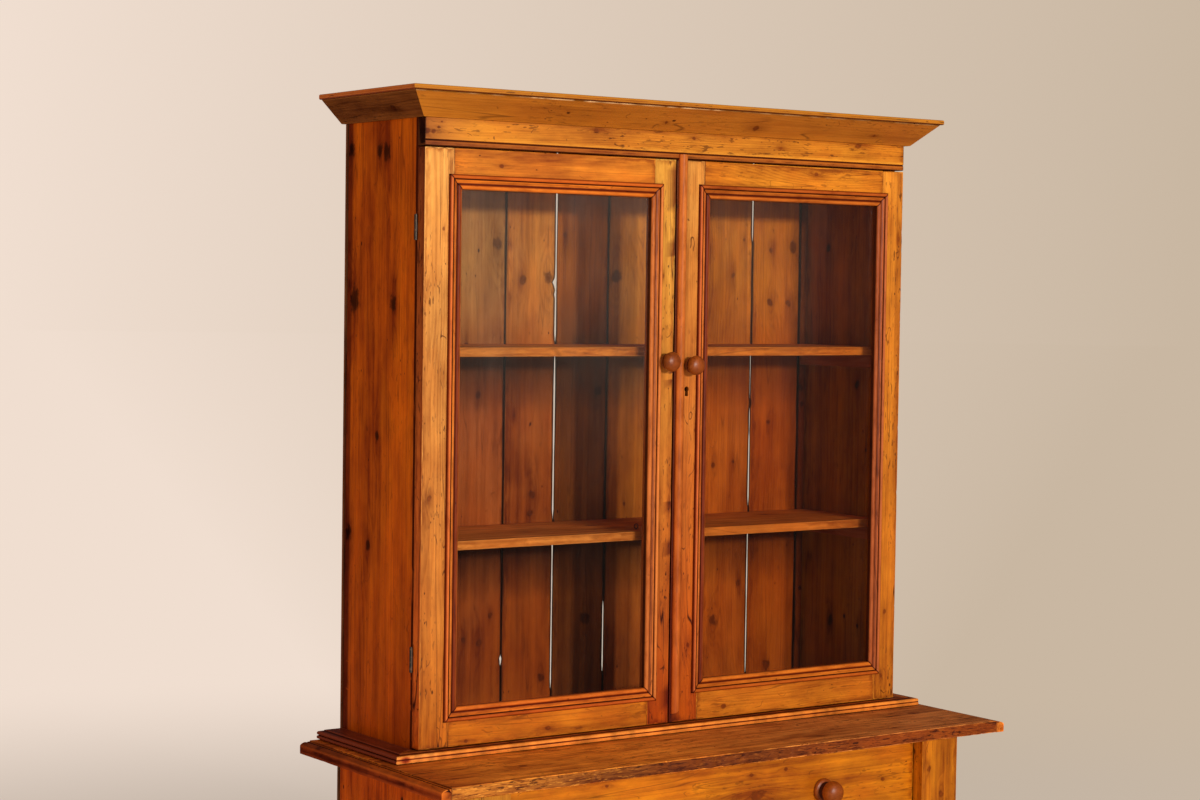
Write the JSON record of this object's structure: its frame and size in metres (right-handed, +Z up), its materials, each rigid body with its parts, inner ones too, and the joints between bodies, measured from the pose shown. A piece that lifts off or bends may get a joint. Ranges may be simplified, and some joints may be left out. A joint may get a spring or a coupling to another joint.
{
  "type": "step back cupboard",
  "caption": "Tall two-stage wooden cupboard: shelves behind glazed hinged doors above a deeper base with a sliding drawer and panelled doors.",
  "frame": {"origin": "centre of the bounding box's underside, at floor level", "axes": "+Z up along the height, +X to the right seen from the front, the doors and drawer face -Y"},
  "size_m": [1.474, 0.5834, 2.17],
  "materials": {
    "pine": "old wax, honey amber",
    "pine_moulding": "old wax, red-brown",
    "pine_inside": "bare, darkened",
    "counter_pine": "worn and scratched wax",
    "knob_wood": "polished",
    "pane": "clear, slightly wavy",
    "iron": "dark, worn"
  },
  "bodies": {
    "case": {"upper_side_left": "pine", "upper_side_right": "pine", "upper_top_board": "pine_inside", "upper_bottom_board": "pine_inside", "upper_backboards": "pine_inside", "shelf_lower": "pine_inside", "shelf_upper": "pine_inside", "shelf_cleats": "pine_inside", "shelf_screw_eye": "iron", "frieze_board": "pine", "crown_front": "pine_moulding", "crown_returns": "pine_moulding", "cornice_cap": "pine", "waist_moulding_front": "pine", "waist_moulding_returns": "pine", "countertop_front_board": "counter_pine", "countertop_back_board": "counter_pine", "base_sides": "pine", "base_stiles": "pine", "base_middle_rail": "pine", "base_bottom_board": "pine_inside", "base_backboards": "pine_inside", "drawer_runners": "pine_inside", "plinth": "pine", "hinge_case_leaves": "iron", "hinge_pins": "iron"},
    "left_door": {"left_door_hinge_stile": "pine", "left_door_meeting_stile": "pine", "left_door_rails": "pine", "left_door_moulding": "pine_moulding", "left_door_glass": "pane", "left_door_glazing_beads": "pine_inside", "left_door_knob": "knob_wood", "left_door_hinge_leaves": "iron", "left_bolt_plate": "iron"},
    "left_bolt": {"left_bolt_rod": "iron"},
    "right_door": {"right_door_hinge_stile": "pine", "right_door_meeting_stile": "pine", "right_door_rails": "pine", "right_door_moulding": "pine_moulding", "right_door_glass": "pane", "right_door_glazing_beads": "pine_inside", "right_door_knob": "knob_wood", "right_door_hinge_leaves": "iron", "meeting_bead": "pine_moulding", "lock_case": "iron"},
    "lock_bolt": {"lock_bolt": "iron"},
    "drawer": {"drawer_front": "pine", "drawer_sides": "pine_inside", "drawer_back": "pine_inside", "drawer_bottom": "pine_inside", "drawer_knobs": "knob_wood"},
    "lower_left_door": {"lower_left_door_frame": "pine", "lower_left_door_panel": "pine", "lower_left_door_knob": "knob_wood", "lower_left_door_hinge_leaves": "iron"},
    "lower_right_door": {"lower_right_door_frame": "pine", "lower_right_door_panel": "pine", "lower_right_door_knob": "knob_wood", "lower_right_door_hinge_leaves": "iron"}
  },
  "joints": [
    {"name": "left_door_hinge", "type": "hinge", "parent": "case", "child": "left_door", "pos_m": [-0.6385, -0.0058, 1.457], "axis": [0, 0, -1], "range_deg": [0, 170]},
    {"name": "right_door_hinge", "type": "hinge", "parent": "case", "child": "right_door", "pos_m": [0.6385, -0.0058, 1.457], "axis": [0, 0, 1], "range_deg": [0, 170]},
    {"name": "left_bolt_slide", "type": "slide", "parent": "left_door", "child": "left_bolt", "axis": [0, 0, -1], "range_m": [0, 0.012]},
    {"name": "lock_bolt_slide", "type": "slide", "parent": "right_door", "child": "lock_bolt", "axis": [-1, 0, 0], "range_m": [0, 0.009]},
    {"name": "drawer_slide", "type": "slide", "parent": "case", "child": "drawer", "axis": [0, -1, 0], "range_m": [0, 0.3]},
    {"name": "lower_left_door_hinge", "type": "hinge", "parent": "case", "child": "lower_left_door", "pos_m": [-0.54325, -0.2398, 0.34], "axis": [0, 0, -1], "range_deg": [0, 110]},
    {"name": "lower_right_door_hinge", "type": "hinge", "parent": "case", "child": "lower_right_door", "pos_m": [0.54325, -0.2398, 0.34], "axis": [0, 0, 1], "range_deg": [0, 110]}
  ]
}
